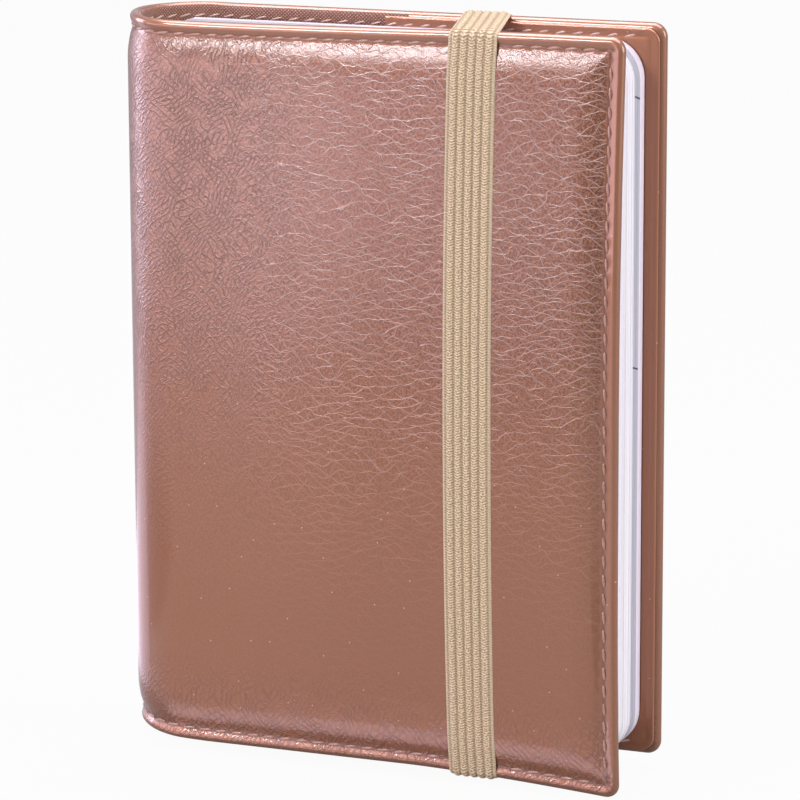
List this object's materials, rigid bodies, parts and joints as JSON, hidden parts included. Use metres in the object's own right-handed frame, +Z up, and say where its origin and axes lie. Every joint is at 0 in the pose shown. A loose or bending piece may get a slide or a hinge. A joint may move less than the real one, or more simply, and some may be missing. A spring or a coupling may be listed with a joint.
{
  "type": "weekly planner",
  "caption": "Pocket weekly planner: sewn page block in a soft stitched leathercloth cover with inner pockets and a round spine, held shut by a flat elastic band.",
  "frame": {"origin": "middle of the closed planner's footprint as it stands on its tail, at the underside of the band", "axes": "+Z up along the pages' height, -Y out of the front cover, -X out of the spine"},
  "size_m": [0.1128, 0.033, 0.1556],
  "materials": {
    "leathercloth": "metallic, grained, satin gloss",
    "grey_board": "uncoated",
    "felt_padding": "thin needle felt",
    "woven_lining": "ribbed weave",
    "block_card": "smooth",
    "sewing_thread": "polyester thread, slight sheen",
    "elastic_webbing": "ribbed elastic, matte",
    "binding_thread": "linen thread",
    "cloth_tape": "fine gauze",
    "endpaper": "uncoated",
    "page_paper": "uncoated, smooth",
    "grey_paper": "uncoated, grey print at the edge",
    "note_paper": "uncoated"
  },
  "bodies": {
    "back_cover": {"back_skin": "leathercloth", "back_board": "grey_board", "back_lining": "woven_lining", "back_card": "block_card", "back_pocket": "leathercloth", "back_stitching": "sewing_thread", "band_head_tab": "elastic_webbing", "band_tail_tab": "elastic_webbing"},
    "spine": {"spine_skin": "leathercloth", "spine_padding": "felt_padding", "spine_lining": "woven_lining", "spine_stitching": "sewing_thread"},
    "front_cover": {"front_skin": "leathercloth", "front_board": "grey_board", "front_lining": "woven_lining", "front_card": "block_card", "front_pocket": "leathercloth", "front_stitching": "sewing_thread"},
    "binding": {"binding_thread": "binding_thread"},
    "front_pages": {"front_tape": "cloth_tape", "front_endpaper": "endpaper", "front_section_1": "page_paper", "front_section_2": "page_paper", "front_section_3": "page_paper", "front_section_4": "page_paper"},
    "back_pages": {"back_tape": "cloth_tape", "back_section_1": "page_paper", "back_section_2": "page_paper", "back_section_3": "page_paper", "address_booklet": "grey_paper", "end_section": "note_paper", "back_endpaper": "endpaper"},
    "leaf_one": {"leaf_1": "page_paper"},
    "leaf_two": {"leaf_2": "page_paper"},
    "leaf_three": {"leaf_3": "page_paper"},
    "band_straps": {"band_head_strap": "elastic_webbing", "band_tail_strap": "elastic_webbing"},
    "band_span": {"band_front_span": "elastic_webbing"}
  },
  "joints": [
    {"name": "spine_fold", "type": "hinge", "parent": "back_cover", "child": "spine", "pos_m": [-0.04911, 0.01381, 0.0778], "axis": [0, 0, -1], "range_deg": [0, 90]},
    {"name": "front_fold", "type": "hinge", "parent": "spine", "child": "front_cover", "pos_m": [-0.04911, -0.01061, 0.0778], "axis": [0, 0, -1], "range_deg": [0, 90]},
    {"name": "block_throw", "type": "slide", "parent": "spine", "child": "binding", "axis": [1, 0, 0], "range_m": [0, 0.01101]},
    {"name": "front_pages_turn", "type": "hinge", "parent": "binding", "child": "front_pages", "pos_m": [-0.04759, 0.0016, 0.0778], "axis": [0, 0, -1], "range_deg": [0, 90]},
    {"name": "back_pages_turn", "type": "hinge", "parent": "binding", "child": "back_pages", "pos_m": [-0.04759, 0.0016, 0.0778], "axis": [0, 0, -1], "range_deg": [-90, 0]},
    {"name": "leaf_one_turn", "type": "hinge", "parent": "binding", "child": "leaf_one", "pos_m": [-0.04759, 0.0016, 0.0778], "axis": [0, 0, -1], "range_deg": [0, 54.01]},
    {"name": "leaf_two_turn", "type": "hinge", "parent": "binding", "child": "leaf_two", "pos_m": [-0.04759, 0.0016, 0.0778], "axis": [0, 0, -1], "range_deg": [0, 9.01]},
    {"name": "leaf_three_turn", "type": "hinge", "parent": "binding", "child": "leaf_three", "pos_m": [-0.04759, 0.0016, 0.0778], "axis": [0, 0, -1], "range_deg": [-45.01, 0]},
    {"name": "band_swing", "type": "hinge", "parent": "back_cover", "child": "band_straps", "pos_m": [0.01741, 0.0161, 0.0778], "axis": [0, 0, 1], "range_deg": [0, 180], "deforming": ["band_head_strap", "band_tail_strap"]},
    {"name": "band_retract", "type": "slide", "parent": "band_straps", "child": "band_span", "axis": [0, 1, 0], "range_m": [0, 0.02821], "deforming": ["band_front_span"]}
  ],
  "couplings": [
    {"joint": "front_fold", "follows": "spine_fold", "ratio": 1},
    {"joint": "block_throw", "follows": "spine_fold", "m_per_rad": 0.0070028},
    {"joint": "front_pages_turn", "follows": "spine_fold", "ratio": 1},
    {"joint": "back_pages_turn", "follows": "spine_fold", "ratio": -1},
    {"joint": "leaf_one_turn", "follows": "spine_fold", "ratio": 0.6},
    {"joint": "leaf_two_turn", "follows": "spine_fold", "ratio": 0.1},
    {"joint": "leaf_three_turn", "follows": "spine_fold", "ratio": -0.5},
    {"joint": "band_swing", "follows": "spine_fold", "ratio": 2},
    {"joint": "band_retract", "follows": "spine_fold", "m_per_rad": 0.017953}
  ]
}
